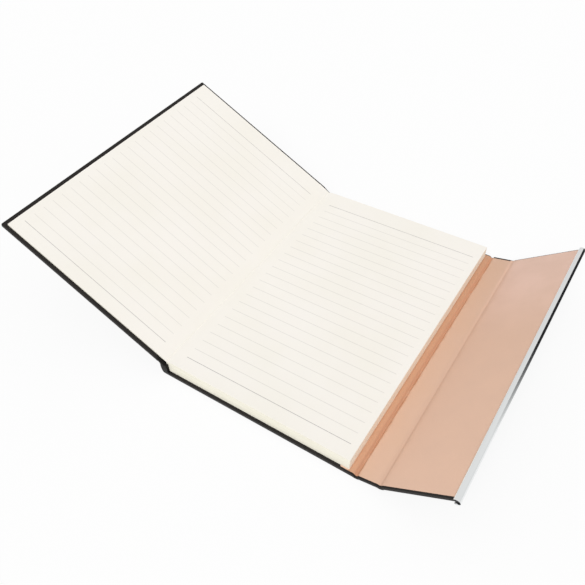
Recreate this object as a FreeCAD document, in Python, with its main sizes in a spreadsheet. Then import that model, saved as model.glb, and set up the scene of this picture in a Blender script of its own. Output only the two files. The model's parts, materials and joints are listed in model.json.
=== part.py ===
import FreeCAD, Part
import math
import os
import Sketcher

# A casebound ruled notebook with a wraparound flap, lying open on its back cover.
# X runs from the spine to the flap, Y from tail to head and Z up.
# The origin is the middle of the flat underside that the book rests on.
# All lengths are in millimetres and all angles in degrees.

SIZES = [
    ("page_width", 140, "gutter to fore edge"),
    ("page_height", 210, "tail to head"),
    ("block_thickness", 9.2, "leaves that lie on the back cover"),
    ("turned_thickness", 1.2, "leaves that are turned onto the front cover"),
    ("gutter_roll", 9, "width over which the top leaf rolls down to the gutter"),
    ("gutter_drop", 0.8, "depth of that roll"),
    ("gutter_gap", 0.4, "from the gutter line to the spine edge of the turned leaves"),
    ("page_gap", 0.3, "air between the two page faces in the shut book"),
    ("board_thickness", 2, "stiff card inside each panel"),
    ("leather_thickness", 0.4, "covering outside and round the edges"),
    ("lining_thickness", 0.3, "endpaper or coloured lining inside"),
    ("head_square", 2.5, "cover beyond the page at head and tail"),
    ("fore_square", 3.4, "front cover beyond the page at the fore edge"),
    ("lining_inset", 0.9, "covering left bare beside the coloured lining, mean of head and tail"),
    ("lining_shift", 0.2, "coloured lining set off the middle, towards the head"),
    ("lining_underlap", 9, "coloured lining tucked under the block, from the back board's edge"),
    ("corner_round", 0.9, "outer corners of the panels"),
    ("edge_round", 0.3, "outer edges of the panels"),
    ("mull_thickness", 0.6, "mesh and paper glued on the back of the block"),
    ("mull_drop", 2, "from the top of the block to the top of the mull"),
    ("spine_hollow", 0.6, "air between the mull and the spine piece"),
    ("spine_rise", 9.3, "table to the top of the standing spine piece"),
    ("spine_board_foot", 2.9, "table to the foot of the spine board"),
    ("spine_round", 2.5, "rounding between the spine and the underside"),
    ("back_joint", 3, "gutter to the back board"),
    ("front_joint", 5.5, "gutter to the front board"),
    ("half_groove", 1.8, "fold line to the edge of the board on each side"),
    ("fore_groove_floor", 1.2, "lining sunk into the groove beside the block"),
    ("flap_groove_floor", 0.5, "lining sunk into the groove between strip and flap"),
    ("closing_gap", 0.3, "air between the shut front cover and what wraps round it"),
    ("front_angle", 28.6, "front cover above level"),
    ("strip_angle", 12, "fore edge strip above level"),
    ("flap_angle", 36.4, "flap above level"),
    ("flap_length", 52, "fold line to where the metal edge starts to round"),
    ("trim_land", 0.5, "solid metal between the flap's edge and the rounded nose"),
    ("trim_overhang", 1, "metal standing past the flap at head and tail"),
    ("trim_inner_width", 0.9, "flat metal seen beside the lining"),
    ("trim_outer_width", 2, "metal on the outside of the flap"),
    ("trim_inner_wall", 0.6, "thickness of the inner lip"),
    ("trim_outer_wall", 1.2, "thickness of the outer lip"),
    ("trim_tuck", 0.2, "lining tucked under the inner lip"),
    ("magnet_edge", 14, "magnets' centres to where the metal edge starts to round"),
    ("magnet_margin", 37.5, "head or tail of the flap to a magnet's centre"),
    ("magnet_radius", 5, "closing magnet"),
    ("magnet_thickness", 1.5, "closing magnet"),
    ("plate_radius", 6, "steel plate that a magnet pulls on"),
    ("plate_thickness", 0.8, "steel plate that a magnet pulls on"),
    ("recess_gap", 0.1, "air round a magnet or plate in its recess"),
]

doc = FreeCAD.newDocument("notebook")
sizes = doc.addObject("Spreadsheet::Sheet", "sizes")
for row, (alias, value, note) in enumerate(SIZES, start=1):
    sizes.set(f"A{row}", note)
    sizes.set(f"B{row}", str(value))
    sizes.setAlias(f"B{row}", alias)
doc.recompute()


def of(text):
    """Write a formula in the sheet's names: each bare alias gets the sheet's own prefix."""
    words = {alias for alias, value, note in SIZES}
    out = ""
    word = ""
    for letter in text + " ":
        if letter.isalnum() or letter in "_.":
            word += letter
            continue
        out += f"sizes.{word}" if word in words else word
        out += letter
        word = ""
    return f"({out.strip()})"


def number(formula):
    """The present value of a formula, worked out inside the sheet, where names have no prefix."""
    return float(sizes.evalExpression(formula.replace("sizes.", "")))


# Sizes that follow from the driving ones
COVER = of("leather_thickness + board_thickness + lining_thickness")
BOARD_TOP = of("leather_thickness + board_thickness")
HALF_PAGE = of("page_height / 2")
HALF_COVER = of("page_height / 2 + head_square")
HALF_BOARD = of("page_height / 2 + head_square - leather_thickness")
HALF_LINING = of("page_height / 2 + head_square - lining_inset")
LINING_SHIFT = of("lining_shift")

GUTTER = of("-page_width / 2")
PAGE_TOP = of(f"{COVER} + block_thickness")
BOOK_AXIS_Z = of(f"{PAGE_TOP} + page_gap / 2")
FRONT_DEPTH = of(f"page_gap / 2 + turned_thickness + {COVER}")

SPINE_IN = of(f"{GUTTER} - mull_thickness - spine_hollow")
SPINE_OUT = of(f"{SPINE_IN} - board_thickness - 2 * leather_thickness")

FORE_AXIS_X = of(f"page_width / 2 + fore_square + closing_gap + {COVER} / 2")
STRIP_SPAN = of(f"2 * {COVER} + block_thickness + page_gap + turned_thickness + closing_gap")
FLAP_AXIS_X = of(f"{FORE_AXIS_X} + {STRIP_SPAN} * cos(strip_angle)")
FLAP_AXIS_Z = of(f"{COVER} / 2 + {STRIP_SPAN} * sin(strip_angle)")

BACK_END = of(f"{FORE_AXIS_X} - half_groove")
LINING_START = of(f"{BACK_END} - lining_underlap")
STRIP_END = of(f"{STRIP_SPAN} - half_groove")
FLAP_END = of("flap_length - trim_land")
FRONT_END = of("-page_width - fore_square")
FRONT_START = of("-front_joint")


def panel_place(axis_x, axis_z, depth, angle):
    """Place of a panel whose underside lies depth below its fold line, turned up by angle."""
    across = f"{axis_x} + {depth} * sin({angle})"
    up = f"{axis_z} - {depth} * cos({angle})"
    return f"placement(vector({across}; 0; {up}); rotation(vector(0; 1; 0); -({angle})))"


FRONT_TURN = of("front_angle")
PLACES = {
    "book": "placement(vector(0; 0; 0); rotation(vector(0; 1; 0); 0))",
    "front": (
        f"placement(vector({GUTTER} - {FRONT_DEPTH} * sin({FRONT_TURN}); 0; "
        f"{BOOK_AXIS_Z} - {FRONT_DEPTH} * cos({FRONT_TURN})); rotation(vector(0; 1; 0); {FRONT_TURN}))"
    ),
    "strip": panel_place(FORE_AXIS_X, f"{COVER} / 2", f"{COVER} / 2", of("strip_angle")),
    "flap": panel_place(FLAP_AXIS_X, FLAP_AXIS_Z, f"{COVER} / 2", of("flap_angle")),
}

pieces = []


def new_piece(label, panel):
    """An empty body that will be one piece of the book, in its panel's place."""
    body = doc.addObject("PartDesign::Body", label)
    body.Label = label
    body.setExpression("Placement", PLACES[panel])
    pieces.append(body)
    return body


def new_sketch(body, name, plane, lift):
    """A sketch on one of the body's own planes, lifted along the plane's normal."""
    sketch = body.newObject("Sketcher::SketchObject", f"{body.Name}_{name}")
    base = [feature for feature in body.Origin.OriginFeatures if feature.Role == plane][0]
    sketch.AttachmentSupport = [(base, "")]
    sketch.MapMode = "FlatFace"
    sketch.setExpression("AttachmentOffset.Base.z", lift)
    return sketch


def pin(sketch, kind, edge, end, formula):
    """Hold one coordinate of a sketch point at a formula's value."""
    index = sketch.addConstraint(Sketcher.Constraint(kind, -1, 1, edge, end, number(formula)))
    sketch.setExpression(f"Constraints[{index}]", formula)


def draw_outline(sketch, corners, arcs=None):
    """Closed outline through the corners, drawn anticlockwise.

    arcs maps the number of a side to its centre, for a side that is a convex arc.
    """
    arcs = arcs or {}
    points = [FreeCAD.Vector(number(across), number(up), 0) for across, up in corners]
    count = len(points)
    for side in range(count):
        first = points[side]
        last = points[(side + 1) % count]
        if side not in arcs:
            sketch.addGeometry(Part.LineSegment(first, last))
            continue
        centre = FreeCAD.Vector(number(arcs[side][0]), number(arcs[side][1]), 0)
        start = math.atan2(first.y - centre.y, first.x - centre.x)
        finish = math.atan2(last.y - centre.y, last.x - centre.x)
        if finish < start:
            finish += 2 * math.pi
        circle = Part.Circle(centre, FreeCAD.Vector(0, 0, 1), (first - centre).Length)
        sketch.addGeometry(Part.ArcOfCircle(circle, start, finish))
    for side in range(count):
        sketch.addConstraint(Sketcher.Constraint("Coincident", side, 2, (side + 1) % count, 1))
    for side, (across, up) in enumerate(corners):
        pin(sketch, "DistanceX", side, 1, across)
        pin(sketch, "DistanceY", side, 1, up)
    for side, (across, up) in arcs.items():
        chord = points[(side + 1) % count] - points[side]
        if abs(chord.x) > abs(chord.y):
            pin(sketch, "DistanceY", side, 3, up)
        else:
            pin(sketch, "DistanceX", side, 3, across)


def rectangle(low_x, high_x, half_y, shift):
    """Corners of a rectangle whose middle is shifted along Y."""
    tail = f"({shift} - {half_y})"
    head = f"({shift} + {half_y})"
    return [(low_x, tail), (high_x, tail), (high_x, head), (low_x, head)]


def add_slab(body, name, low_x, high_x, half_y, low_z, high_z, shift="0"):
    """Pad a flat slab onto the body."""
    sketch = new_sketch(body, f"{name}_outline", "XY_Plane", low_z)
    draw_outline(sketch, rectangle(low_x, high_x, half_y, shift))
    pad = body.newObject("PartDesign::Pad", f"{body.Name}_{name}")
    pad.Profile = sketch
    pad.setExpression("Length", f"{high_z} - {low_z}")
    sketch.Visibility = False
    return pad


def add_profile(body, name, half_y, corners, arcs=None, shift="0"):
    """Pad a section in the XZ plane to both sides of a middle that is shifted along Y.

    The plane's normal points to the tail, so the sketch is lifted the other way.
    """
    sketch = new_sketch(body, f"{name}_section", "XZ_Plane", f"-({shift})")
    draw_outline(sketch, corners, arcs)
    pad = body.newObject("PartDesign::Pad", f"{body.Name}_{name}")
    pad.Profile = sketch
    pad.SideType = "Symmetric"
    pad.setExpression("Length", f"2 * {half_y}")
    sketch.Visibility = False
    return pad


def check_cut(body, before):
    """A cut has to take material away."""
    doc.recompute()
    if body.Shape.Volume >= before - 1e-6:
        raise RuntimeError(f"{body.Label}: a cut removed nothing")


def cut_slab(body, name, low_x, high_x, half_y, low_z, high_z, shift="0"):
    """Pocket a flat rectangular space out of the body."""
    doc.recompute()
    before = body.Shape.Volume
    sketch = new_sketch(body, f"{name}_outline", "XY_Plane", high_z)
    draw_outline(sketch, rectangle(low_x, high_x, half_y, shift))
    pocket = body.newObject("PartDesign::Pocket", f"{body.Name}_{name}")
    pocket.Profile = sketch
    pocket.setExpression("Length", f"{high_z} - {low_z}")
    sketch.Visibility = False
    check_cut(body, before)
    return pocket


def draw_disc(sketch, across, along, radius):
    """One circle, with its centre and radius held."""
    centre = FreeCAD.Vector(number(across), number(along), 0)
    edge = sketch.addGeometry(Part.Circle(centre, FreeCAD.Vector(0, 0, 1), number(radius)))
    pin(sketch, "DistanceX", edge, 3, across)
    pin(sketch, "DistanceY", edge, 3, along)
    index = sketch.addConstraint(Sketcher.Constraint("Radius", edge, number(radius)))
    sketch.setExpression(f"Constraints[{index}]", radius)


def cut_recesses(body, name, across, radius, low_z, high_z):
    """Pocket the two round recesses of a board, one near the head and one near the tail."""
    doc.recompute()
    before = body.Shape.Volume
    sketch = new_sketch(body, f"{name}_circles", "XY_Plane", high_z)
    for side in ("-", ""):
        draw_disc(sketch, across, f"{side}{HALF_SPREAD}", radius)
    pocket = body.newObject("PartDesign::Pocket", f"{body.Name}_{name}")
    pocket.Profile = sketch
    pocket.setExpression("Length", f"{high_z} - {low_z}")
    sketch.Visibility = False
    check_cut(body, before)


def add_disc(body, name, across, along, radius, low_z, high_z):
    """Pad one round disc."""
    sketch = new_sketch(body, f"{name}_circle", "XY_Plane", low_z)
    draw_disc(sketch, across, along, radius)
    pad = body.newObject("PartDesign::Pad", f"{body.Name}_{name}")
    pad.Profile = sketch
    pad.setExpression("Length", f"{high_z} - {low_z}")
    sketch.Visibility = False


def round_edges(body, name, radius, wanted):
    """Fillet the edges of the body's present shape whose middle the test picks."""
    doc.recompute()
    base = body.Tip
    names = []
    for index, edge in enumerate(base.Shape.Edges, start=1):
        middle = edge.valueAt((edge.FirstParameter + edge.LastParameter) / 2)
        if wanted(middle, edge.Length):
            names.append(f"Edge{index}")
    fillet = body.newObject("PartDesign::Fillet", f"{body.Name}_{name}")
    fillet.Base = (base, names)
    fillet.setExpression("Radius", radius)
    body.Tip = fillet


def near(value, formula):
    """True where a coordinate is at a formula's value."""
    return abs(value - number(formula)) < 1e-4


def round_panel(body, end_x):
    """Round a panel's outer corners, if it has a free end, then its outer edges at head and tail."""
    if end_x:
        def at_corner(point, length):
            upright = near(abs(point.y), HALF_COVER) and near(point.z, f"{COVER} / 2")
            return upright and near(point.x, end_x)
        round_edges(body, "corners", of("corner_round"), at_corner)

    def at_rim(point, length):
        at_side = near(abs(point.y), HALF_COVER) and length > number(of("half_groove"))
        at_end = bool(end_x) and near(point.x, end_x)
        return (at_side or at_end) and (near(point.z, "0") or near(point.z, COVER))
    round_edges(body, "rims", of("edge_round"), at_rim)


# The leaves


def make_page_block():
    """The leaves that lie on the back cover, with the top leaf rolling down into the gutter."""
    body = new_piece("page_block", "book")
    roll_radius = of("(gutter_roll * gutter_roll + gutter_drop * gutter_drop) / (2 * gutter_drop)")
    fore_edge = of("page_width / 2")
    roll_x = of(f"{GUTTER} + gutter_roll")
    corners = [
        (GUTTER, COVER),
        (fore_edge, COVER),
        (fore_edge, PAGE_TOP),
        (roll_x, PAGE_TOP),
        (GUTTER, of(f"{PAGE_TOP} - gutter_drop")),
    ]
    add_profile(body, "leaves", HALF_PAGE, corners, {3: (roll_x, f"{PAGE_TOP} - {roll_radius}")})


def make_turned_leaves():
    """The leaves that are turned onto the front cover; they swing with it about the gutter."""
    body = new_piece("turned_leaves", "front")
    top = of(f"{COVER} + turned_thickness")
    drop = of("gutter_drop / 2")
    roll = of("gutter_roll - gutter_gap")
    roll_radius = f"(({roll} * {roll} + {drop} * {drop}) / (2 * {drop}))"
    corners = [
        (of("-page_width"), COVER),
        (of("-gutter_gap"), COVER),
        (of("-gutter_gap"), f"({top} - {drop})"),
        (of("-gutter_roll"), top),
        (of("-page_width"), top),
    ]
    add_profile(body, "leaves", HALF_PAGE, corners, {2: (of("-gutter_roll"), f"{top} - {roll_radius}")})


def make_mull():
    """The mesh and paper that is glued on the back of the leaves."""
    body = new_piece("spine_mull", "book")
    top = of(f"{PAGE_TOP} - mull_drop")
    add_slab(body, "strip", of(f"{GUTTER} - mull_thickness"), GUTTER, HALF_PAGE, COVER, top)


# The back cover and the spine, which lie on the table


def make_back_skin():
    """Covering of spine and back board: one sheet, turned in over head and tail."""
    body = new_piece("back_cover_skin", "book")
    round_x = of(f"{SPINE_OUT} + spine_round")
    corners = [
        (round_x, "0"),
        (BACK_END, "0"),
        (BACK_END, COVER),
        (SPINE_IN, COVER),
        (SPINE_IN, of("spine_rise")),
        (SPINE_OUT, of("spine_rise")),
        (SPINE_OUT, of("spine_round")),
    ]
    add_profile(body, "sheet", HALF_COVER, corners, {6: (round_x, of("spine_round"))})
    cut_slab(body, "board_space", SPINE_IN, BACK_END, HALF_BOARD, of("leather_thickness"), BOARD_TOP)
    cut_slab(body, "endpaper_space", SPINE_IN, BACK_END, HALF_PAGE, BOARD_TOP, COVER)
    cut_slab(body, "lining_space", LINING_START, BACK_END, HALF_LINING, BOARD_TOP, COVER, LINING_SHIFT)
    low_x = of(f"{SPINE_OUT} + leather_thickness")
    high_x = of(f"{SPINE_IN} - leather_thickness")
    foot = of("spine_board_foot")
    cut_slab(body, "spine_board_space", low_x, high_x, HALF_BOARD, foot, of("spine_rise"))
    round_panel(body, None)


def make_spine_board():
    """Stiff card in the standing spine."""
    body = new_piece("spine_board", "book")
    low_x = of(f"{SPINE_OUT} + leather_thickness")
    high_x = of(f"{SPINE_IN} - leather_thickness")
    add_slab(body, "card", low_x, high_x, HALF_BOARD, of("spine_board_foot"), of("spine_rise"))


def make_back_board():
    body = new_piece("back_board", "book")
    low_x = of(f"{GUTTER} + back_joint")
    add_slab(body, "card", low_x, BACK_END, HALF_BOARD, of("leather_thickness"), BOARD_TOP)


def make_back_papers():
    """Endpaper under the block, and the part of the coloured lining that runs under it."""
    body = new_piece("back_endpaper", "book")
    add_slab(body, "sheet", SPINE_IN, LINING_START, HALF_PAGE, BOARD_TOP, COVER)
    body = new_piece("back_lining", "book")
    add_slab(body, "sheet", LINING_START, BACK_END, HALF_LINING, BOARD_TOP, COVER, LINING_SHIFT)


# The front cover, drawn with X from the gutter and Z from its outer face


def make_front_cover():
    body = new_piece("front_cover_skin", "front")
    inner_end = of(f"{FRONT_END} + leather_thickness")
    add_slab(body, "sheet", FRONT_END, FRONT_START, HALF_COVER, "0", COVER)
    cut_slab(body, "board_space", inner_end, FRONT_START, HALF_BOARD, of("leather_thickness"), BOARD_TOP)
    cut_slab(body, "endpaper_space", of("-page_width"), FRONT_START, HALF_PAGE, BOARD_TOP, COVER)
    round_panel(body, FRONT_END)

    body = new_piece("front_board", "front")
    add_slab(body, "card", inner_end, FRONT_START, HALF_BOARD, of("leather_thickness"), BOARD_TOP)
    radius = of("plate_radius + recess_gap")
    cut_recesses(body, "recesses", PLATE_X, radius, of("leather_thickness"), PLATE_TOP)

    body = new_piece("front_endpaper", "front")
    endpaper_start = of("-front_joint / 2")
    add_slab(body, "sheet", of("-page_width"), endpaper_start, HALF_PAGE, BOARD_TOP, COVER)


# The strip that wraps round the fore edge, drawn with X from its fold line


def make_strip():
    low_x = of("half_groove")
    body = new_piece("fore_edge_skin", "strip")
    add_slab(body, "sheet", low_x, STRIP_END, HALF_COVER, "0", COVER)
    cut_slab(body, "board_space", low_x, STRIP_END, HALF_BOARD, of("leather_thickness"), BOARD_TOP)
    cut_slab(body, "lining_space", low_x, STRIP_END, HALF_LINING, BOARD_TOP, COVER, LINING_SHIFT)
    round_panel(body, None)

    body = new_piece("fore_edge_board", "strip")
    add_slab(body, "card", low_x, STRIP_END, HALF_BOARD, of("leather_thickness"), BOARD_TOP)

    body = new_piece("fore_edge_lining", "strip")
    add_slab(body, "sheet", low_x, STRIP_END, HALF_LINING, BOARD_TOP, COVER, LINING_SHIFT)


# The flap, drawn with X from its fold line


def make_flap():
    low_x = of("half_groove")
    board_end = of(f"{FLAP_END} - leather_thickness")
    lining_end = of("flap_length - trim_inner_width + trim_tuck")
    body = new_piece("flap_skin", "flap")
    add_slab(body, "sheet", low_x, FLAP_END, HALF_COVER, "0", COVER)
    cut_slab(body, "board_space", low_x, board_end, HALF_BOARD, of("leather_thickness"), BOARD_TOP)
    cut_slab(body, "lining_space", low_x, lining_end, HALF_LINING, BOARD_TOP, COVER, LINING_SHIFT)

    body = new_piece("flap_board", "flap")
    add_slab(body, "card", low_x, board_end, HALF_BOARD, of("leather_thickness"), BOARD_TOP)
    radius = of("magnet_radius + recess_gap")
    cut_recesses(body, "recesses", MAGNET_X, radius, MAGNET_FOOT, BOARD_TOP)

    body = new_piece("flap_lining", "flap")
    add_slab(body, "sheet", low_x, lining_end, HALF_LINING, BOARD_TOP, COVER, LINING_SHIFT)


def make_edge_trim():
    """Metal channel on the flap's free edge, with a full round nose."""
    body = new_piece("edge_trim", "flap")
    low_z = of("-trim_outer_wall")
    high_z = of(f"{COVER} + trim_inner_wall")
    nose_x = of("flap_length")
    corners = [
        (of("flap_length - trim_outer_width"), low_z),
        (nose_x, low_z),
        (nose_x, high_z),
        (of("flap_length - trim_inner_width"), high_z),
        (of("flap_length - trim_inner_width"), COVER),
        (FLAP_END, COVER),
        (FLAP_END, "0"),
        (of("flap_length - trim_outer_width"), "0"),
    ]
    half_length = of(f"{HALF_COVER} + trim_overhang")
    add_profile(body, "channel", half_length, corners, {1: (nose_x, f"({low_z} + {high_z}) / 2")})


# Closing magnets in the flap and the steel plates that they meet in the front cover

HALF_SPREAD = of(f"{HALF_COVER} - magnet_margin")
MAGNET_FOOT = of(f"{BOARD_TOP} - magnet_thickness")
PLATE_TOP = of("leather_thickness + plate_thickness")
MAGNET_X = of("flap_length - magnet_edge")
PLATE_X = of(f"-({FORE_AXIS_X} - {GUTTER} - {MAGNET_X})")


def make_closure():
    for end, side in (("tail", "-"), ("head", "")):
        along = f"{side}{HALF_SPREAD}"
        body = new_piece(f"flap_magnet_{end}", "flap")
        add_disc(body, "disc", MAGNET_X, along, of("magnet_radius"), MAGNET_FOOT, BOARD_TOP)
        body = new_piece(f"catch_plate_{end}", "front")
        add_disc(body, "disc", PLATE_X, along, of("plate_radius"), of("leather_thickness"), PLATE_TOP)


# The folds, where covering and lining bend between two boards


def turned(across, up, angle):
    """A point of a turned panel, measured from the fold line and written in the book's directions."""
    return f"({across} * cos({angle}) - {up} * sin({angle}))", f"({across} * sin({angle}) + {up} * cos({angle}))"


def shifted(point, axis_x, axis_z):
    return f"({axis_x} + {point[0]})", f"({axis_z} + {point[1]})"


def make_fold(name, axis_x, axis_z, near_angle, far_angle, groove_floor):
    """Covering and lining between two panels that share a fold line half way up their thickness."""
    half = f"({COVER} / 2)"
    gap = of("half_groove")
    bend = f"(({far_angle} - {near_angle}) / 2)"
    middle_angle = f"(({far_angle} + {near_angle}) / 2)"

    def outline(pairs):
        return [shifted(turned(across, up, angle), axis_x, axis_z) for across, up, angle in pairs]

    outer = f"(-{half})"
    inner = f"({of('leather_thickness')} - {half})"
    body = new_piece(f"{name}_cloth", "book")
    section = outline([
        (f"(-{gap})", outer, near_angle),
        ("0", f"({outer} / cos({bend}))", middle_angle),
        (gap, outer, far_angle),
        (gap, inner, far_angle),
        ("0", f"({inner} / cos({bend}))", middle_angle),
        (f"(-{gap})", inner, near_angle),
    ])
    add_profile(body, "sheet", HALF_COVER, section)

    sheet = of("lining_thickness")
    valley = f"({gap} / 3)"
    floor = f"({half} - {groove_floor})"
    body = new_piece(f"{name}_lining", "book")
    section = outline([
        (f"(-{gap})", f"({half} - {sheet})", near_angle),
        (f"(-{valley})", f"({floor} - {sheet})", near_angle),
        (valley, f"({floor} - {sheet})", far_angle),
        (gap, f"({half} - {sheet})", far_angle),
        (gap, half, far_angle),
        (valley, floor, far_angle),
        (f"(-{valley})", floor, near_angle),
        (f"(-{gap})", half, near_angle),
    ])
    add_profile(body, "sheet", HALF_LINING, section, None, LINING_SHIFT)


def make_front_fold():
    """Covering between the top of the spine and the front board."""
    body = new_piece("front_joint_cloth", "book")
    angle = f"(-{FRONT_TURN})"
    leather = of("leather_thickness")

    def on_front(across, up):
        return shifted(turned(across, up, angle), GUTTER, BOOK_AXIS_Z)

    def above_spine(spine_x, up):
        """Where the front cover's face, up from the gutter line, meets a face of the spine."""
        run = f"(({spine_x} - {GUTTER} + {up} * sin({angle})) / cos({angle}))"
        return on_front(run, up)

    outer = f"(-{FRONT_DEPTH})"
    inner = f"({leather} - {FRONT_DEPTH})"
    spine_skin = f"({SPINE_OUT} + {leather})"
    section = [
        (SPINE_OUT, of("spine_rise")),
        (spine_skin, of("spine_rise")),
        above_spine(spine_skin, inner),
        on_front(FRONT_START, inner),
        on_front(FRONT_START, outer),
        above_spine(SPINE_OUT, outer),
    ]
    add_profile(body, "sheet", HALF_COVER, section)


make_page_block()
make_turned_leaves()
make_mull()
make_back_skin()
make_spine_board()
make_back_board()
make_back_papers()
make_front_cover()
make_strip()
make_flap()
make_edge_trim()
make_closure()
make_fold("fore_edge_fold", FORE_AXIS_X, f"({COVER} / 2)", "0", of("strip_angle"), of("fore_groove_floor"))
make_fold("flap_fold", FLAP_AXIS_X, FLAP_AXIS_Z, of("strip_angle"), of("flap_angle"), of("flap_groove_floor"))
make_front_fold()
doc.recompute()

for item in doc.Objects:
    if "Invalid" in item.State or "Error" in item.State:
        raise RuntimeError(f"{item.Label} could not be built: {item.State}")
for piece in pieces:
    if piece.Shape.isNull() or not piece.Shape.isValid() or piece.Shape.Volume <= 0:
        raise RuntimeError(f"{piece.Label} has no valid shape")

os.makedirs("parts", exist_ok=True)
for piece in pieces:
    piece.Shape.exportStep(f"parts/{piece.Label}.step")
print("fold lines, x and z in mm")
print("book", number(GUTTER), number(BOOK_AXIS_Z))
print("fore edge", number(FORE_AXIS_X), number(f"{COVER} / 2"))
print("flap", number(FLAP_AXIS_X), number(FLAP_AXIS_Z))
print(len(pieces), "pieces")
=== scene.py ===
import json
import math

import bmesh
import bpy
from mathutils import Matrix, Vector


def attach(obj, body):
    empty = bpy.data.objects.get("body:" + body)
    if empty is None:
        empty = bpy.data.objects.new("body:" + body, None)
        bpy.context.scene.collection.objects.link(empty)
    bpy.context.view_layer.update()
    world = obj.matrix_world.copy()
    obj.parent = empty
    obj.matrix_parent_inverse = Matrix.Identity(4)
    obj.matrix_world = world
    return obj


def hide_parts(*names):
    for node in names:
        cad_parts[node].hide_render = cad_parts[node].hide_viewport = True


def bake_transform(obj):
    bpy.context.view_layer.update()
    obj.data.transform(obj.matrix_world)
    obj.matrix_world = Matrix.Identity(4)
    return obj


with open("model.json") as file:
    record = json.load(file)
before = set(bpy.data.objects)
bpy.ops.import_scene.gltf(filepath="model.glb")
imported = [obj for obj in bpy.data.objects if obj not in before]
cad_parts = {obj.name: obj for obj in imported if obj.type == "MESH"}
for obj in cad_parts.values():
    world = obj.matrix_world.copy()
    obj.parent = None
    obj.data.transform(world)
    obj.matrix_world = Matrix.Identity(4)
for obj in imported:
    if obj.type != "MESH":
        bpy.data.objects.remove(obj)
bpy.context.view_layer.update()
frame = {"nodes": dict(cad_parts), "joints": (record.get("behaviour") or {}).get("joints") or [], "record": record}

# A casebound ruled notebook with a wraparound flap, lying open on its back cover.
# Lengths are in millimetres and angles in degrees, as a binder would note them; MM turns them into metres.

MM = 0.001

# Sizes that the solids have as well

PAGE_WIDTH = 140
PAGE_HEIGHT = 210
BLOCK_THICKNESS = 9.2
TURNED_THICKNESS = 1.2
GUTTER_ROLL = 9
GUTTER_DROP = 0.8
GUTTER_GAP = 0.4
PAGE_GAP = 0.3
LEATHER = 0.4
BOARD = 2
SHEET = 0.3
HEAD_SQUARE = 2.5
FORE_SQUARE = 3.4
SPINE_SPACE = 1.2
SPINE_RISE = 9.3
SPINE_ROUND = 2.5
FRONT_JOINT = 5.5
HALF_GROOVE = 1.8
FORE_GROOVE = 1.2
LINING_UNDERLAP = 9
LINING_INSET = 0.9
LINING_SHIFT = 0.2
FRONT_ANGLE = 28.6
STRIP_ANGLE = 12
FLAP_ANGLE = 36.4
NOSE = 52
TRIM_LAND = 0.5
TRIM_OVERHANG = 1
TRIM_TUCK = 0.2
INNER_LIP_WIDTH = 0.9
INNER_LIP_WALL = 0.6
OUTER_LIP_WIDTH = 2
OUTER_LIP_WALL = 1.2

# Detail that only the pieces modelled here have

BLOCK_LAYERS = 30
TURNED_LAYERS = 6
ROLL_STEPS = 6
TOP_BACK = 0.02
FOOT_BACK = 0.05
BLOCK_LEAN = 3.5
SPINE_BULGE = 0.4
SPINE_CAP = -68.7
JOINT_PINCH = 0.8
FLAP_GROOVE = 0.1
STRIP_LINING_SHORT = 0.8
BORE_PLACE = (52.7, 0.3)
BORE_RADIUS = 1.05
BORE_DEPTH = 4
LINE_PITCH = 8.39
FIRST_LINE = 9.9
LAST_LINE_NUMBER = 22
OUTER_MARGIN = 5

# How far apart two points may lie and still count as level, and as one point

LEVEL = 0.01
MERGE = 0.002


def fold_line(name):
    """Where a fold line lies, across and up, from the record's hinge of that name."""
    hinge = [joint for joint in frame["joints"] if joint["name"] == name][0]
    return (hinge["pos_m"][0] / MM, hinge["pos_m"][2] / MM)


BOOK_AXIS = fold_line("front_cover_hinge")
FORE_AXIS = fold_line("fore_edge_fold")
FLAP_AXIS = fold_line("flap_fold")

# Sizes that follow from the others

GUTTER = -PAGE_WIDTH / 2
FORE_EDGE = PAGE_WIDTH / 2
HALF_PAGE = PAGE_HEIGHT / 2
COVER = LEATHER + BOARD + SHEET
HALF_COVER = HALF_PAGE + HEAD_SQUARE
LINING_TAIL = LINING_SHIFT - HALF_COVER + LINING_INSET
LINING_HEAD = LINING_SHIFT + HALF_COVER - LINING_INSET
STRIP_LINING_HEAD = LINING_HEAD - STRIP_LINING_SHORT
BLOCK_TOP = COVER + BLOCK_THICKNESS
TURNED_TOP = COVER + TURNED_THICKNESS
FRONT_DEPTH = TURNED_TOP + PAGE_GAP / 2
SPINE_IN = GUTTER - SPINE_SPACE
SPINE_OUT = SPINE_IN - BOARD - 2 * LEATHER
FRONT_EDGE = -PAGE_WIDTH - FORE_SQUARE
FRONT_START = -FRONT_JOINT
BACK_END = FORE_AXIS[0] - HALF_GROOVE
LINING_START = BACK_END - LINING_UNDERLAP
STRIP_END = math.dist(FORE_AXIS, FLAP_AXIS) - HALF_GROOVE
FLAP_END = NOSE - TRIM_LAND
LIP_START = NOSE - INNER_LIP_WIDTH
LINING_END = LIP_START + TRIM_TUCK
OUTER_LIP = NOSE - OUTER_LIP_WIDTH
LIP_TOP = COVER + INNER_LIP_WALL
LIP_FOOT = -OUTER_LIP_WALL
NOSE_LEVEL = (LIP_TOP + LIP_FOOT) / 2
NOSE_RADIUS = (LIP_TOP - LIP_FOOT) / 2
HALF_TRIM = HALF_COVER + TRIM_OVERHANG

# Where each panel starts along the lining, measured from the lining's hidden end under the block

STRIP_U = BACK_END - LINING_START + 2 * HALF_GROOVE
FLAP_FOLD_U = STRIP_U + STRIP_END - HALF_GROOVE
FLAP_U = FLAP_FOLD_U + 2 * HALF_GROOVE


# Places on the turned panels


def turn(across, up, angle):
    """A step from a fold line, turned up by the angle towards the flap."""
    cosine = math.cos(math.radians(angle))
    sine = math.sin(math.radians(angle))
    return (across * cosine - up * sine, across * sine + up * cosine)


def part_way(first, last, share):
    """The point at a share of the way from one point to another."""
    return (first[0] + (last[0] - first[0]) * share, first[1] + (last[1] - first[1]) * share)


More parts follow.
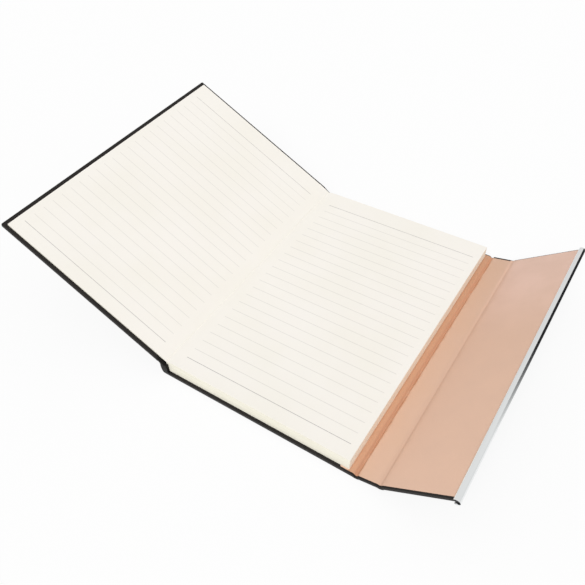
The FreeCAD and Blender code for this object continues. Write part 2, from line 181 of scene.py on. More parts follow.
def on_panel(axis, depth, angle, across, up):
    """Where a point of a panel lies in the book, from its distance to the fold line and its height."""
    step = turn(across, up - depth, angle)
    return (axis[0] + step[0], axis[1] + step[1])


def on_front(across, up):
    return on_panel(BOOK_AXIS, FRONT_DEPTH, -FRONT_ANGLE, across, up)


def take_up(piece):
    """Select one piece alone, ready for the next step."""
    bpy.ops.object.select_all(action="DESELECT")
    piece.select_set(True)
    bpy.context.view_layer.objects.active = piece


def place(piece, axis, depth, angle):
    """Lay a piece that was made flat onto its panel, with its place kept in its mesh."""
    corner = on_panel(axis, depth, angle, 0, 0)
    take_up(piece)
    piece.rotation_euler = (0, -math.radians(angle), 0)
    piece.location = (corner[0] * MM, 0, corner[1] * MM)
    bpy.ops.object.transform_apply(location=True, rotation=True, scale=True)


def place_front(piece):
    place(piece, BOOK_AXIS, FRONT_DEPTH, -FRONT_ANGLE)


def place_strip(piece):
    place(piece, FORE_AXIS, COVER / 2, STRIP_ANGLE)


def place_flap(piece):
    place(piece, FLAP_AXIS, COVER / 2, FLAP_ANGLE)


# Modelling steps


def draw_out(name, points, tail, head):
    """Draw a closed section point by point in the XZ plane, fill it and extrude it from tail to head."""
    bpy.ops.object.select_all(action="DESELECT")
    start = (points[0][0] * MM, tail * MM, points[0][1] * MM)
    bpy.ops.mesh.primitive_plane_add(size=0.001, location=start)
    piece = bpy.context.object
    piece.name = name
    piece.data.name = name
    bpy.ops.object.transform_apply(location=True, rotation=True, scale=True)
    bpy.ops.object.mode_set(mode="EDIT")
    bpy.ops.mesh.select_mode(type="VERT")
    bpy.ops.mesh.select_all(action="SELECT")
    bpy.ops.mesh.merge(type="CENTER")
    for here, there in zip(points, points[1:] + points[:1]):
        step = ((there[0] - here[0]) * MM, 0, (there[1] - here[1]) * MM)
        bpy.ops.mesh.extrude_vertices_move(TRANSFORM_OT_translate={"value": step})
    bpy.ops.mesh.select_all(action="SELECT")
    bpy.ops.mesh.remove_doubles(threshold=MERGE * MM)
    bpy.ops.mesh.select_all(action="SELECT")
    bpy.ops.mesh.edge_face_add()
    bpy.ops.mesh.extrude_region_move(TRANSFORM_OT_translate={"value": (0, (head - tail) * MM, 0)})
    bpy.ops.mesh.select_all(action="SELECT")
    bpy.ops.mesh.normals_make_consistent(inside=False)
    bpy.ops.object.mode_set(mode="OBJECT")
    return piece


def soften(piece, width, segments, wanted):
    """Bevel the edges whose two ends both pass the test, given in millimetres."""
    take_up(piece)
    bpy.ops.object.mode_set(mode="EDIT")
    bpy.ops.mesh.select_mode(type="EDGE")
    bpy.ops.mesh.select_all(action="DESELECT")
    net = bmesh.from_edit_mesh(piece.data)
    for edge in net.edges:
        if wanted(edge.verts[0].co / MM, edge.verts[1].co / MM):
            edge.select_set(True)
    bmesh.update_edit_mesh(piece.data)
    bpy.ops.mesh.bevel(offset=width * MM, segments=segments, affect="EDGES", clamp_overlap=True)
    bpy.ops.object.mode_set(mode="OBJECT")


def hollow(piece, cutter):
    """Cut one shape out of a piece and throw the cutter away."""
    cut = piece.modifiers.new("cut", "BOOLEAN")
    cut.operation = "DIFFERENCE"
    cut.solver = "EXACT"
    cut.object = cutter
    bpy.context.view_layer.objects.active = piece
    bpy.ops.object.modifier_apply(modifier=cut.name)
    bpy.data.objects.remove(cutter)


def cut_pocket(piece, low, high):
    """Sink a flat rectangular pocket into a piece."""
    bpy.ops.object.select_all(action="DESELECT")
    middle = [(a + b) / 2 * MM for a, b in zip(low, high)]
    bpy.ops.mesh.primitive_cube_add(size=1, location=middle)
    cutter = bpy.context.object
    cutter.scale = [(b - a) * MM for a, b in zip(low, high)]
    bpy.ops.object.transform_apply(location=True, rotation=True, scale=True)
    hollow(piece, cutter)


def close_seams(piece):
    """Join the points that two cuts left on the same spot."""
    take_up(piece)
    bpy.ops.object.mode_set(mode="EDIT")
    bpy.ops.mesh.select_mode(type="VERT")
    bpy.ops.mesh.select_all(action="SELECT")
    bpy.ops.mesh.remove_doubles(threshold=MERGE * MM)
    bpy.ops.object.mode_set(mode="OBJECT")


def smooth(piece, angle=32):
    """Shade a piece smooth, apart from the edges that turn by more than the angle."""
    take_up(piece)
    bpy.ops.object.shade_smooth_by_angle(angle=math.radians(angle))


def lay_out(piece, where):
    """Give a piece its own UV map in millimetres, from a rule for each corner."""
    layer = piece.data.uv_layers.new(name="layout")
    for loop in piece.data.loops:
        layer.data[loop.index].uv = where(piece.data.vertices[loop.vertex_index].co / MM)


def arc(centre, radius, start, finish, steps):
    """Points along an arc, both ends included."""
    angles = [math.radians(start + (finish - start) * step / steps) for step in range(steps + 1)]
    return [(centre[0] + radius * math.cos(a), centre[1] + radius * math.sin(a)) for a in angles]


# Material steps


def seen(red, green, blue):
    """A colour as it looks, from 0 to 255, turned into the light that Blender counts in."""
    def light(value):
        value /= 255
        return value / 12.92 if value <= 0.04045 else ((value + 0.055) / 1.055) ** 2.4
    return (light(red), light(green), light(blue), 1)


def new_material(name, roughness, metallic=0.0):
    material = bpy.data.materials.new(name)
    material.use_nodes = True
    shader = material.node_tree.nodes["Principled BSDF"]
    shader.inputs["Roughness"].default_value = roughness
    shader.inputs["Metallic"].default_value = metallic
    return material, shader


def feed(material, socket, value):
    """Link a socket where the value is another node's output, and set it otherwise."""
    if isinstance(value, bpy.types.NodeSocket):
        material.node_tree.links.new(value, socket)
    else:
        socket.default_value = value


def calc(material, operation, first, second=0.0, third=0.0):
    node = material.node_tree.nodes.new("ShaderNodeMath")
    node.operation = operation
    for socket, value in zip(node.inputs, (first, second, third)):
        feed(material, socket, value)
    return node.outputs[0]


def ramp(material, value, low, high, start=0.0, finish=1.0):
    """Ease from start to finish while the value goes from low to high."""
    node = material.node_tree.nodes.new("ShaderNodeMapRange")
    node.interpolation_type = "SMOOTHSTEP"
    for name, number in (("From Min", low), ("From Max", high), ("To Min", start), ("To Max", finish)):
        node.inputs[name].default_value = number
    feed(material, node.inputs["Value"], value)
    return node.outputs["Result"]


def band(material, value, rise, fall):
    """1 between two eased edges and 0 outside them; rise and fall are each a low and a high value."""
    return calc(material, "MULTIPLY", ramp(material, value, *rise), ramp(material, value, *fall, 1, 0))


def split(material, vector):
    """The X, Y and Z of a vector."""
    node = material.node_tree.nodes.new("ShaderNodeSeparateXYZ")
    material.node_tree.links.new(vector, node.inputs[0])
    return node.outputs


def blend_colours(material, amount, first, second):
    node = material.node_tree.nodes.new("ShaderNodeMix")
    node.data_type = "RGBA"
    feed(material, node.inputs[0], amount)
    feed(material, node.inputs[6], first)
    feed(material, node.inputs[7], second)
    return node.outputs[2]


def coordinates(material, stretch=(1, 1, 1), layout=False):
    """The piece's own coordinates: metres in the book, or the millimetres of its UV map."""
    nodes = material.node_tree.nodes
    if layout:
        source = nodes.new("ShaderNodeUVMap")
        source.uv_map = "layout"
        output = source.outputs["UV"]
    else:
        output = nodes.new("ShaderNodeTexCoord").outputs["Object"]
    mapping = nodes.new("ShaderNodeMapping")
    mapping.inputs["Scale"].default_value = stretch
    material.node_tree.links.new(output, mapping.inputs["Vector"])
    return mapping.outputs["Vector"]


def noise(material, vector, scale, detail=2.0, roughness=0.5):
    node = material.node_tree.nodes.new("ShaderNodeTexNoise")
    node.inputs["Scale"].default_value = scale
    node.inputs["Detail"].default_value = detail
    node.inputs["Roughness"].default_value = roughness
    material.node_tree.links.new(vector, node.inputs["Vector"])
    return node.outputs["Fac"]


def cells(material, vector, scale):
    node = material.node_tree.nodes.new("ShaderNodeTexVoronoi")
    node.inputs["Scale"].default_value = scale
    material.node_tree.links.new(vector, node.inputs["Vector"])
    return node.outputs["Distance"]


def relief(material, shader, height, depth, strength=1.0):
    """Raise the surface by the height pattern, depth in millimetres."""
    node = material.node_tree.nodes.new("ShaderNodeBump")
    node.inputs["Strength"].default_value = strength
    node.inputs["Distance"].default_value = depth * MM
    material.node_tree.links.new(height, node.inputs["Height"])
    material.node_tree.links.new(node.outputs["Normal"], shader.inputs["Normal"])


def ruled_paper(name, gutter_margin, print_weight):
    """Cream paper with fine grey lines; the first and last line of the page are printed darker."""
    material, shader = new_material(name, 0.85)
    layout = coordinates(material, layout=True)
    parts = split(material, layout)
    across, along = parts["X"], parts["Y"]
    count = calc(material, "DIVIDE", calc(material, "SUBTRACT", along, FIRST_LINE), LINE_PITCH)
    nearest = calc(material, "ROUND", count)
    apart = calc(material, "ABSOLUTE", calc(material, "SUBTRACT", count, nearest))
    away = calc(material, "MULTIPLY", apart, LINE_PITCH)
    ink = ramp(material, away, 0.14, 0.30, 1, 0)
    inside = band(material, count, (-0.5, -0.4), (LAST_LINE_NUMBER + 0.4, LAST_LINE_NUMBER + 0.5))
    fade = 0.3
    line_end = PAGE_WIDTH - OUTER_MARGIN
    span = band(material, across, (gutter_margin - fade, gutter_margin + fade),
                (line_end - fade, line_end + fade))
    outer = calc(material, "MAXIMUM", ramp(material, nearest, 0.2, 0.8, 1, 0),
                 ramp(material, nearest, LAST_LINE_NUMBER - 0.8, LAST_LINE_NUMBER - 0.2))
    strength = calc(material, "MULTIPLY_ADD", outer, 0.36 * print_weight, 0.26 * print_weight)
    printed = calc(material, "MULTIPLY", calc(material, "MULTIPLY", ink, strength),
                   calc(material, "MULTIPLY", inside, span))
    worn = noise(material, layout, 0.8, 3)
    printed = calc(material, "MULTIPLY", printed, ramp(material, worn, 0.3, 0.55, 0.72, 1))
    mottle = noise(material, layout, 0.02, 3)
    clouded = ramp(material, mottle, 0.3, 0.7)
    paper = blend_colours(material, clouded, seen(249, 245, 238), seen(247, 243, 234))
    shader.inputs["Specular IOR Level"].default_value = 0.2
    feed(material, shader.inputs["Base Color"],
         blend_colours(material, printed, paper, seen(120, 120, 122)))
    relief(material, shader, noise(material, layout, 3.5, 4, 0.6), 0.02, 0.5)
    return material


def leaf_edges(name, plain, shaded, layers_along):
    """The cut edges of a stack of leaves, with a fine line for each few leaves."""
    material, shader = new_material(name, 0.9)
    stretch = (60, 60, 5200) if layers_along == "Z" else (5200, 60, 2400)
    streak = noise(material, coordinates(material, stretch), 1.0, 2)
    feed(material, shader.inputs["Base Color"],
         blend_colours(material, ramp(material, streak, 0.35, 0.65), plain, shaded))
    shader.inputs["Specular IOR Level"].default_value = 0.2
    relief(material, shader, streak, 0.08, 0.6)
    return material


def leatherette():
    """Black grained covering: small pebbles, paler on the high spots, and painted shade that darkens it at the
    spine.
    """
    material, shader = new_material("black_leatherette", 0.5)
    place_here = coordinates(material)
    pebbles = cells(material, place_here, 1500)
    wander = noise(material, place_here, 420, 4, 0.6)
    height = calc(material, "MULTIPLY_ADD", pebbles, 0.7, calc(material, "MULTIPLY", wander, 0.5))
    # painted shade: the covering turns near black over the spine and the joint beside it, where shade falls in the
    # pinched fold
    painted_spine_shade = band(material, split(material, place_here)["X"], (-77.5 * MM, -75 * MM), (-68 * MM, -66 * MM))
    grained = blend_colours(material, ramp(material, height, 0.35, 0.9), seen(29, 26, 24), seen(41, 37, 35))
    feed(material, shader.inputs["Base Color"],
         blend_colours(material, calc(material, "MULTIPLY", painted_spine_shade, 0.8), grained, seen(10, 9, 7)))
    feed(material, shader.inputs["Roughness"], ramp(material, wander, 0.3, 0.7, 0.46, 0.6))
    shader.inputs["Specular IOR Level"].default_value = 0.18
    relief(material, shader, height, 0.12, 0.55)
    return material


def tan_lining():
    """Tan lining: warmer painted shade and bounce light in the groove beside the leaves, a painted contact shadow
    at the block's foot, a soft painted shade at the second fold, and painted light that makes the flap paler.
    """
    material, shader = new_material("tan_lining", 0.6)
    layout = coordinates(material, layout=True)
    parts = split(material, layout)
    sway = noise(material, coordinates(material, (0.35, 0.09, 1), layout=True), 1.0, 3, 0.6)
    across = calc(material, "ADD", parts["X"], ramp(material, sway, 0.25, 0.75, -1.1, 1.1))
    mottle = noise(material, layout, 0.05, 3)
    # painted light: from the second fold on the lining is paler, so the flap, which gets less light than the
    # strip, looks as bright
    painted_flap_light = ramp(material, across, 22, 34)
    field = blend_colours(material, painted_flap_light, seen(223, 185, 159), seen(231, 193, 169))
    # painted light: the flap is paler still towards the head, where it would otherwise render darker
    paler = calc(material, "MULTIPLY", ramp(material, parts["Y"], 10, 90), painted_flap_light)
    field = blend_colours(material, paler, field, seen(244, 207, 189))
    field = blend_colours(material, ramp(material, mottle, 0.3, 0.7, 0, 0.35), field, seen(224, 188, 166))
    # painted shade and bounce light: a darker, warmer band in the groove beside the leaves
    groove = band(material, across, (4, 6), (11, 13.2))
    ridge = band(material, across, (8.2, 9.6), (10.4, 12))
    painted_groove_shade = blend_colours(material, ridge, seen(209, 161, 129), seen(209, 158, 126))
    # painted contact shadow along the foot of the block
    foot = ramp(material, parts["X"], 5.6, 7.2, 0.6, 0)
    painted_groove_shade = blend_colours(material, foot, painted_groove_shade, seen(194, 148, 118))
    # painted shade: a soft darker band along the second fold
    crease = band(material, across, (22.5, 27), (27, 31.5))
    tone = blend_colours(material, calc(material, "MULTIPLY", crease, 0.34), field, seen(211, 173, 150))
    feed(material, shader.inputs["Base Color"], blend_colours(material, groove, tone, painted_groove_shade))
    shader.inputs["Specular IOR Level"].default_value = 0.3
    fibres = noise(material, layout, 4.5, 5, 0.65)
    feed(material, shader.inputs["Roughness"], ramp(material, fibres, 0.3, 0.7, 0.54, 0.7))
    relief(material, shader, fibres, 0.04, 0.4)
    return material


def drawn_metal(name, colour, low_gloss, high_gloss, stretch, depth):
    """Metal with fine lines along its length, smoother or rougher along them."""
    material, shader = new_material(name, low_gloss, 1.0)
    lines = noise(material, coordinates(material, stretch), 1.0, 3)
    darker = tuple(value * 0.9 for value in colour[:3]) + (1,)
    feed(material, shader.inputs["Base Color"],
         blend_colours(material, ramp(material, lines, 0.3, 0.7), colour, darker))
    feed(material, shader.inputs["Roughness"], ramp(material, lines, 0.3, 0.7, low_gloss, high_gloss))
    relief(material, shader, lines, depth, 0.3)
    return material


def fibrous(name, light_tone, dark_tone, scale, stretch=(1, 1, 1), depth=0.05):
    """Matt sheet or board whose fibres show as fine speckle."""
    material, shader = new_material(name, 0.9)
    fleck = noise(material, coordinates(material, stretch), scale, 5, 0.6)
    feed(material, shader.inputs["Base Color"],
         blend_colours(material, ramp(material, fleck, 0.35, 0.65), light_tone, dark_tone))
    shader.inputs["Specular IOR Level"].default_value = 0.2
    relief(material, shader, fleck, depth, 0.5)
    return material


right_page = ruled_paper("ruled_paper_right", 9.8, 1)
left_page = ruled_paper("ruled_paper_left", 9.1, 0.85)
block_edges = leaf_edges("leaf_edges_block", seen(246, 242, 228), seen(235, 231, 214), "Z")
# painted light: the fore face of the block takes a paler copy of the leaf edges, for light that the flap keeps
# from it
fore_edges_painted_light = leaf_edges("leaf_edges_fore_painted_light", seen(253, 247, 234), seen(248, 240, 224), "Z")
turned_edges = leaf_edges("leaf_edges_turned", seen(245, 241, 228), seen(234, 230, 214), "X")
folded_paper = leaf_edges("folded_paper", seen(250, 247, 238), seen(247, 243, 233), "X")
black = leatherette()
lining = tan_lining()
satin_lip = drawn_metal("satin_metal", seen(236, 239, 239), 0.38, 0.46, (300, 6, 300), 0.01)
bright_nose = drawn_metal("polished_metal", seen(246, 248, 248), 0.12, 0.18, (300, 4, 300), 0.003)
# painted shade: the faces inside the bores are dark grey metal, for the shade inside the hollow ends
bore_painted_shade = drawn_metal("bore_painted_shade", seen(70, 70, 72), 0.5, 0.6, (300, 20, 300), 0.02)

kept = {
    "endpaper": fibrous("cream_endpaper", seen(246, 242, 230), seen(238, 233, 218), 900),
    "mull": fibrous("glued_mull", seen(235, 231, 219), seen(208, 203, 190), 1, (1400, 1400, 1400), 0.1),
    "greyboard": fibrous("grey_board", seen(188, 184, 176), seen(160, 156, 148), 700, depth=0.1),
    "plate_steel": drawn_metal("rolled_steel", seen(186, 188, 190), 0.3, 0.42, (900, 30, 900), 0.01),
    "magnet": drawn_metal("nickel_plate", seen(200, 200, 202), 0.2, 0.3, (200, 200, 200), 0.01),
}
for part in frame["record"]["subparts"]:
    node = frame["nodes"][part["node"]]
    if part["material_slot"] in kept:
        for holder in node.material_slots:
            holder.material = kept[part["material_slot"]]


def dress(piece, slot_name, *materials):
    """Give a piece its materials; the slot name is not used."""
    for material in materials:
        piece.data.materials.append(material)


# The leaves


def roll_drop(distance, depth, width):
    """How far the top leaf has sunk at a distance from where it starts to roll into the gutter."""
    radius = (width * width + depth * depth) / (2 * depth)
    return radius - math.sqrt(radius * radius - distance * distance)


def uneven(step):
    """Trimmed leaves that stand back from the fore edge by a few hundredths."""
    return 0.05 + 0.045 * math.sin(step * 2.4) * math.cos(step * 0.9)


def paint_pages(piece, up):
    """Top faces take the ruled paper and all the others the leaf edges."""
    for face in piece.data.polygons:
        face.material_index = 0 if face.normal.dot(up) > 0.7 else 1


def lean_end(piece, end):
    """Lean one end of the block about its top edge: the lower leaves lie a little towards the tail."""
    take_up(piece)
    bpy.ops.object.mode_set(mode="EDIT")
    bpy.ops.mesh.select_mode(type="VERT")
    bpy.ops.mesh.select_all(action="DESELECT")
    net = bmesh.from_edit_mesh(piece.data)
    for corner in net.verts:
        if abs(corner.co.y / MM - end) < LEVEL:
            corner.select_set(True)
    bmesh.update_edit_mesh(piece.data)
    bpy.ops.transform.rotate(value=math.radians(BLOCK_LEAN), orient_axis="X",
                             center_override=(0, end * MM, BLOCK_TOP * MM))
    bpy.ops.object.mode_set(mode="OBJECT")


def make_leaf_block():
    """The leaves on the back cover: an uneven fore edge, and a top leaf that rolls into the gutter."""
    points = [(GUTTER, COVER), (FORE_EDGE - FOOT_BACK, COVER)]
    for step in range(1, BLOCK_LAYERS):
        points.append((FORE_EDGE - uneven(step), COVER + BLOCK_THICKNESS * step / BLOCK_LAYERS))
    points.append((FORE_EDGE - TOP_BACK, BLOCK_TOP))
    for step in range(ROLL_STEPS + 1):
        distance = GUTTER_ROLL * step / ROLL_STEPS
        sunk = roll_drop(distance, GUTTER_DROP, GUTTER_ROLL)
        points.append((GUTTER + GUTTER_ROLL - distance, BLOCK_TOP - sunk))
    piece = draw_out("leaf_block", points, -HALF_PAGE, HALF_PAGE)
    lean_end(piece, -HALF_PAGE)
    lean_end(piece, HALF_PAGE)
    lay_out(piece, lambda point: (point.x - GUTTER, point.y + HALF_PAGE))
    dress(piece, "paper", right_page, block_edges, fore_edges_painted_light)
    paint_pages(piece, Vector((0, 0, 1)))
    # the fore face takes the paler copy of the leaf edges, which is painted light
    for face in piece.data.polygons:
        if face.normal.x > 0.7:
            face.material_index = 2
    smooth(piece, 12)
    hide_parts("page_block")
    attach(piece, "book")


def make_turned_leaves():
    """The leaves that lie on the front cover, a little apart from the block at the gutter."""
    points = [(-GUTTER_GAP, COVER)]
    width = GUTTER_ROLL - GUTTER_GAP
    for step in range(ROLL_STEPS, -1, -1):
        distance = width * step / ROLL_STEPS
        sunk = roll_drop(distance, GUTTER_DROP / 2, width)
        points.append((-GUTTER_ROLL + distance, TURNED_TOP - sunk))
    points.append((-PAGE_WIDTH + TOP_BACK, TURNED_TOP))
    for step in range(TURNED_LAYERS - 1, 0, -1):
        points.append((-PAGE_WIDTH + uneven(step), COVER + TURNED_THICKNESS * step / TURNED_LAYERS))
    points.append((-PAGE_WIDTH + FOOT_BACK, COVER))
    piece = draw_out("turned_leaf_stack", points, -HALF_PAGE, HALF_PAGE)
    lay_out(piece, lambda point: (-point.x, point.y + HALF_PAGE))
    dress(piece, "paper", left_page, turned_edges)
    paint_pages(piece, Vector((0, 0, 1)))
    place_front(piece)
    smooth(piece, 12)
    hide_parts("turned_leaves")
    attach(piece, "front_cover")


def make_gutter_paper():
    """The fold of paper at the bottom of the gutter, which joins the two stacks."""
    near_top = (GUTTER, BLOCK_TOP - GUTTER_DROP)
    far_top = on_front(-GUTTER_GAP, TURNED_TOP - GUTTER_DROP / 2)
    near_foot = (GUTTER, BLOCK_TOP - GUTTER_DROP - 0.5)
    far_foot = on_front(-GUTTER_GAP, COVER + 0.2)
    top = [part_way(near_top, far_top, step / ROLL_STEPS) for step in range(ROLL_STEPS + 1)]
    foot = [part_way(near_foot, far_foot, step / ROLL_STEPS) for step in range(ROLL_STEPS, -1, -1)]
    piece = draw_out("gutter_fold_paper", top + foot, -HALF_PAGE, HALF_PAGE)
    dress(piece, "paper", folded_paper)
    smooth(piece, 40)
    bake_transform(piece)


# The covers


def soften_rims(piece, low_x, high_x, width=0.5):
    """Round the covering where it is turned over head and tail, but not where the next panel meets it."""
    def at_rim(first, last):
        ends = [abs(abs(point.y) - HALF_COVER) < LEVEL for point in (first, last)]
        seam = any(abs(first.x - x) < LEVEL and abs(last.x - x) < LEVEL for x in (low_x, high_x))
        return all(ends) and not seam
    soften(piece, width, 4, at_rim)


def make_back_cover():
    """Back board and spine in their covering, which is turned in over the ends of the spine."""
    points = arc((SPINE_OUT + SPINE_ROUND, SPINE_ROUND), SPINE_ROUND, 180, 270, 8)
    points += [(BACK_END, 0), (BACK_END, COVER), (SPINE_CAP, COVER), (SPINE_CAP, SPINE_RISE),
               (SPINE_OUT, SPINE_RISE)]
    wall = SPINE_RISE - SPINE_ROUND
    for step in range(1, 8):
        bulge = SPINE_BULGE * math.sin(math.pi * step / 8)
        points.append((SPINE_OUT - bulge, SPINE_RISE - wall * step / 8))
    piece = draw_out("back_cover_wrap", points, -HALF_COVER, HALF_COVER)
    soften_rims(piece, BACK_END, BACK_END)
    cut_pocket(piece, (SPINE_IN, -HALF_PAGE, COVER - SHEET), (BACK_END + 1, HALF_PAGE, SPINE_RISE + 1))
    cut_pocket(piece, (LINING_START, LINING_TAIL, COVER - SHEET), (BACK_END + 1, LINING_HEAD, COVER + 1))
    close_seams(piece)
    dress(piece, "leatherette", black)
    smooth(piece)
    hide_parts("back_cover_skin")
    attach(piece, "book")


def make_front_cover():
    points = [(FRONT_EDGE, 0), (FRONT_START, 0), (FRONT_START, COVER), (FRONT_EDGE, COVER)]
    piece = draw_out("front_cover_wrap", points, -HALF_COVER, HALF_COVER)

    def at_corner(first, last):
        on_edge = all(abs(point.x - FRONT_EDGE) < LEVEL for point in (first, last))
        return on_edge and abs(first.y - last.y) < LEVEL
    soften(piece, 0.9, 4, at_corner)

    def at_rim(first, last):
        flat = abs(first.z - last.z) < LEVEL
        outside = all(abs(point.y) > HALF_COVER - 1 or point.x < FRONT_EDGE + 1 for point in (first, last))
        at_joint = all(point.x > FRONT_START - LEVEL for point in (first, last))
        return flat and outside and not at_joint
    soften(piece, 0.5, 4, at_rim)
    cut_pocket(piece, (-PAGE_WIDTH, -HALF_PAGE, COVER - SHEET), (FRONT_START + 1, HALF_PAGE, COVER + 1))
    dress(piece, "leatherette", black)
    place_front(piece)
    smooth(piece)
    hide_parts("front_cover_skin")
    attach(piece, "front_cover")


def make_front_joint():
    """Covering from the top of the spine to the front board, turned in at head and tail."""
    outer_start = (SPINE_OUT, SPINE_RISE)
    inner_start = (SPINE_IN, SPINE_RISE)
    outer_end = on_front(FRONT_START, 0)
    inner_end = on_front(FRONT_START, COVER - SHEET)
    steps = 14

    def pinch(step):
        return JOINT_PINCH * math.sin(math.pi * step / steps)
    outer, inner = [], []
    for step in range(steps + 1):
        across, up = part_way(outer_start, outer_end, step / steps)
        outer.append((across + pinch(step) * 0.6, up + pinch(step)))
        inner.append(part_way(inner_start, inner_end, step / steps))
    piece = draw_out("front_joint_wrap", outer + inner[::-1], -HALF_COVER, HALF_COVER)
    dress(piece, "leatherette", black)
    smooth(piece, 40)
    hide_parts("front_joint_cloth")
    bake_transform(piece)


def make_panel(name, node, body, end_x, lining_end, lining_head, put):
    """A covered board of the fore edge strip or the flap, open to its folds."""
    points = [(HALF_GROOVE, 0), (end_x, 0), (end_x, COVER), (HALF_GROOVE, COVER)]
    piece = draw_out(name, points, -HALF_COVER, HALF_COVER)
    soften_rims(piece, HALF_GROOVE, end_x)
    cut_pocket(piece, (HALF_GROOVE - 1, LINING_TAIL, COVER - SHEET), (lining_end, lining_head, COVER + 1))
    dress(piece, "leatherette", black)
    put(piece)
    smooth(piece)
    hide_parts(node)
    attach(piece, body)


# Folds and lining


def fold_point(axis, near, far, across, up):
    """A point of a bent strip, eased from the angle of one panel to that of the next."""
    share = min(max((across + HALF_GROOVE) / (2 * HALF_GROOVE), 0), 1)
    eased = share * share * (3 - 2 * share)
    step = turn(across, up - COVER / 2, near + (far - near) * eased)
    return (axis[0] + step[0], axis[1] + step[1])


def make_fold(name, axis, near, far, depth, start_u):
    """Covering and lining that bend between two boards, with the lining sunk between them."""
    steps = 10
    stations = [-HALF_GROOVE + 2 * HALF_GROOVE * step / steps for step in range(steps + 1)]

    def floor(across):
        return depth * (1 + math.cos(math.pi * across / HALF_GROOVE)) / 2
    outside = [fold_point(axis, near, far, across, 0) for across in stations]
    outside = [(point[0], max(point[1], 0)) for point in outside]
    between = [fold_point(axis, near, far, across, COVER - SHEET - floor(across)) for across in stations]
    inside = [fold_point(axis, near, far, across, COVER - floor(across)) for across in stations]
    start = fold_point(axis, near, far, -HALF_GROOVE, COVER / 2)
    end = fold_point(axis, near, far, HALF_GROOVE, COVER / 2)

    cloth = draw_out(f"{name}_wrap", outside + between[::-1], -HALF_COVER, HALF_COVER)
    dress(cloth, "leatherette", black)
    smooth(cloth, 40)
    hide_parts(f"{name}_cloth")
    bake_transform(cloth)

    sheet = draw_out(f"{name}_lining_sheet", between + inside[::-1], LINING_TAIL, LINING_HEAD)
    direction = Vector((end[0] - start[0], 0, end[1] - start[1])).normalized()
    origin = Vector((start[0], 0, start[1]))

    def along_lining(point):
        return (start_u + (Vector((point.x, 0, point.z)) - origin).dot(direction), point.y)
    lay_out(sheet, along_lining)
    dress(sheet, "lining", lining)
    smooth(sheet, 40)
    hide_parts(f"{name}_lining")
    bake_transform(sheet)


def make_lining(name, node, body, low_x, high_x, head, start_u, put=None):
    """A flat length of lining, glued in the pocket of its panel."""
    points = [(low_x, COVER - SHEET), (high_x, COVER - SHEET), (high_x, COVER), (low_x, COVER)]
    piece = draw_out(name, points, LINING_TAIL, head)

    def at_side(first, last):
        on_side = abs(first.y - last.y) < LEVEL
        return on_side and all(abs(point.z - COVER) < LEVEL for point in (first, last))
    soften(piece, 0.12, 2, at_side)
    lay_out(piece, lambda point: (start_u + point.x - low_x, point.y))
    dress(piece, "lining", lining)
    if put:
        put(piece)
    smooth(piece)
    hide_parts(node)
    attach(piece, body)


def make_trim():
    """Metal channel on the flap's edge: a narrow lip on each side and a full round nose."""
    inner_round = 0.25
    outer_round = 0.5
    points = [(OUTER_LIP + outer_round, LIP_FOOT)]
    points += arc((NOSE, NOSE_LEVEL), NOSE_RADIUS, -90, 90, 24)
    points += arc((LIP_START + inner_round, LIP_TOP - inner_round), inner_round, 90, 180, 3)
    points += [(LIP_START, COVER), (FLAP_END, COVER), (FLAP_END, 0), (OUTER_LIP, 0)]
    points += arc((OUTER_LIP + outer_round, LIP_FOOT + outer_round), outer_round, 180, 255, 4)
    piece = draw_out("edge_trim_channel", points, -HALF_TRIM, HALF_TRIM)
    for side in (-1, 1):
        bpy.ops.object.select_all(action="DESELECT")
        bpy.ops.mesh.primitive_cylinder_add(
            vertices=24, radius=BORE_RADIUS * MM, depth=2 * BORE_DEPTH * MM, rotation=(math.pi / 2, 0, 0),
            location=(BORE_PLACE[0] * MM, side * HALF_TRIM * MM, BORE_PLACE[1] * MM))
        bore = bpy.context.object
        bpy.ops.object.transform_apply(location=True, rotation=True, scale=True)
        hollow(piece, bore)
    dress(piece, "trim_metal", satin_lip, bright_nose, bore_painted_shade)
    for face in piece.data.polygons:
        middle = face.center / MM
        from_bore = math.hypot(middle.x - BORE_PLACE[0], middle.z - BORE_PLACE[1])
        # faces inside a bore take the dark grey metal, which is painted shade
        if abs(middle.y) > HALF_TRIM - BORE_DEPTH - 0.1 and from_bore < BORE_RADIUS + 0.05:
            face.material_index = 2
        elif middle.x > LIP_START and abs(face.normal.y) < 0.5:
            face.material_index = 1
        else:
            face.material_index = 0
    place_flap(piece)
    smooth(piece)
    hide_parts("edge_trim")
    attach(piece, "flap")


make_leaf_block()
make_turned_leaves()
make_gutter_paper()
make_back_cover()
make_front_cover()
make_front_joint()
make_panel("fore_edge_wrap", "fore_edge_skin", "fore_edge_strip",
           STRIP_END, STRIP_END + 1, STRIP_LINING_HEAD, place_strip)
make_panel("flap_wrap", "flap_skin", "flap", FLAP_END, LINING_END, LINING_HEAD, place_flap)
make_fold("fore_edge_fold", FORE_AXIS, 0, STRIP_ANGLE, FORE_GROOVE,
          LINING_UNDERLAP)
make_fold("flap_fold", FLAP_AXIS, STRIP_ANGLE, FLAP_ANGLE, FLAP_GROOVE,
          FLAP_FOLD_U)
make_lining("back_lining_sheet", "back_lining", "book", LINING_START, BACK_END, LINING_HEAD, 0)
make_lining("fore_edge_lining_sheet", "fore_edge_lining", "fore_edge_strip",
            HALF_GROOVE, STRIP_END, STRIP_LINING_HEAD, STRIP_U, place_strip)
make_lining("flap_lining_sheet", "flap_lining", "flap",
            HALF_GROOVE, LINING_END, LINING_HEAD, FLAP_U, place_flap)
make_trim()


# Table, light and camera


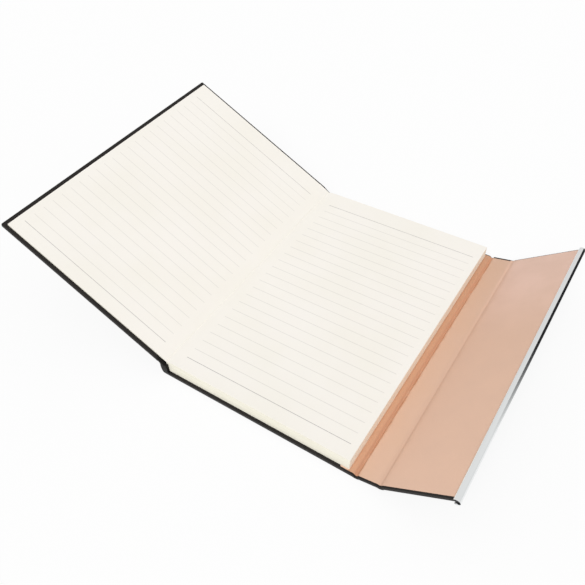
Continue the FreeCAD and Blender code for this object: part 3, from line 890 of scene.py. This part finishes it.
def make_floor():
    """A plain pale table top that looks white to the camera and keeps the book's shadow."""
    bpy.ops.object.select_all(action="DESELECT")
    bpy.ops.mesh.primitive_plane_add(size=8, location=(0, 0, -0.0002))
    floor = bpy.context.object
    floor.name = "table_top"
    material, shader = new_material("pale_table", 0.9)
    shader.inputs["Base Color"].default_value = seen(247, 247, 247)
    shader.inputs["Specular IOR Level"].default_value = 0.0
    nodes, links = material.node_tree.nodes, material.node_tree.links
    paths = nodes.new("ShaderNodeLightPath")
    shown = calc(material, "MAXIMUM", paths.outputs["Is Glossy Ray"], paths.outputs["Is Transmission Ray"])
    shown = calc(material, "MAXIMUM", paths.outputs["Is Camera Ray"], shown)
    white = nodes.new("ShaderNodeEmission")
    mix = nodes.new("ShaderNodeMixShader")
    links.new(calc(material, "MULTIPLY", shown, 0.86), mix.inputs[0])
    links.new(shader.outputs[0], mix.inputs[1])
    links.new(white.outputs[0], mix.inputs[2])
    links.new(mix.outputs[0], nodes["Material Output"].inputs["Surface"])
    floor.data.materials.append(material)


def make_lights():
    """A white room, which lights the book less strongly than it looks, and one soft lamp above the tail."""
    world = bpy.data.worlds.new("soft_room")
    bpy.context.scene.world = world
    world.use_nodes = True
    room = world.node_tree.nodes["Background"]
    room.inputs["Color"].default_value = (1, 1, 1, 1)
    paths = world.node_tree.nodes.new("ShaderNodeLightPath")
    mirrored = calc(world, "MULTIPLY_ADD", paths.outputs["Is Glossy Ray"], 0.2, 0.58)
    strength = calc(world, "MULTIPLY_ADD", paths.outputs["Is Camera Ray"], 0.42, mirrored)
    feed(world, room.inputs["Strength"], strength)
    lamp = bpy.data.lights.new("soft_light", "SUN")
    lamp.angle = math.radians(40)
    lamp.energy = 1.6
    holder = bpy.data.objects.new("soft_light", lamp)
    holder.location = (0.7, -2.05, 2.75)
    holder.rotation_euler = (-holder.location).to_track_quat("-Z", "Y").to_euler()
    bpy.context.scene.collection.objects.link(holder)


def make_dark_card():
    """A curved black card beside the head half of the flap: only the polished metal mirrors it."""
    middle = (134, 34)
    outer = arc(middle, 61, -33, 55, 12)
    inner = arc(middle, 60, 55, -33, 12)
    card = draw_out("dark_card", outer + inner + [(112, 0.8), (112, 0.3)], -40, 300)
    material, shader = new_material("black_card", 1.0)
    shader.inputs["Base Color"].default_value = seen(52, 52, 54)
    shader.inputs["Specular IOR Level"].default_value = 0.0
    nodes, links = material.node_tree.nodes, material.node_tree.links
    clear = nodes.new("ShaderNodeBsdfTransparent")
    mix = nodes.new("ShaderNodeMixShader")
    along = split(material, coordinates(material))["Y"]
    feed(material, mix.inputs[0], ramp(material, along, -30 * MM, 85 * MM))
    links.new(clear.outputs[0], mix.inputs[1])
    links.new(shader.outputs[0], mix.inputs[2])
    links.new(mix.outputs[0], nodes["Material Output"].inputs["Surface"])
    card.data.materials.append(material)
    card.visible_camera = False
    card.visible_diffuse = False
    card.visible_shadow = False


def make_camera():
    """The camera that the photograph was fitted to."""
    lens = bpy.data.cameras.new("photo_camera")
    lens.sensor_width = 36
    lens.lens = 39.17
    lens.clip_start = 0.01
    lens.clip_end = 50
    right = Vector((0.83635, 0.54592, -0.05))
    forward = Vector((-0.4074, 0.55791, -0.72303)).normalized()
    right = (right - forward * right.dot(forward)).normalized()
    upward = right.cross(forward)
    turned = Matrix((right, upward, -forward)).transposed()
    camera = bpy.data.objects.new("photo_camera", lens)
    camera.matrix_world = Matrix.Translation(Vector((155.92, -266.8, 345.13)) * MM) @ turned.to_4x4()
    bpy.context.scene.collection.objects.link(camera)
    bpy.context.scene.camera = camera


make_floor()
make_lights()
make_dark_card()
make_camera()
bpy.context.scene.view_settings.view_transform = "Standard"
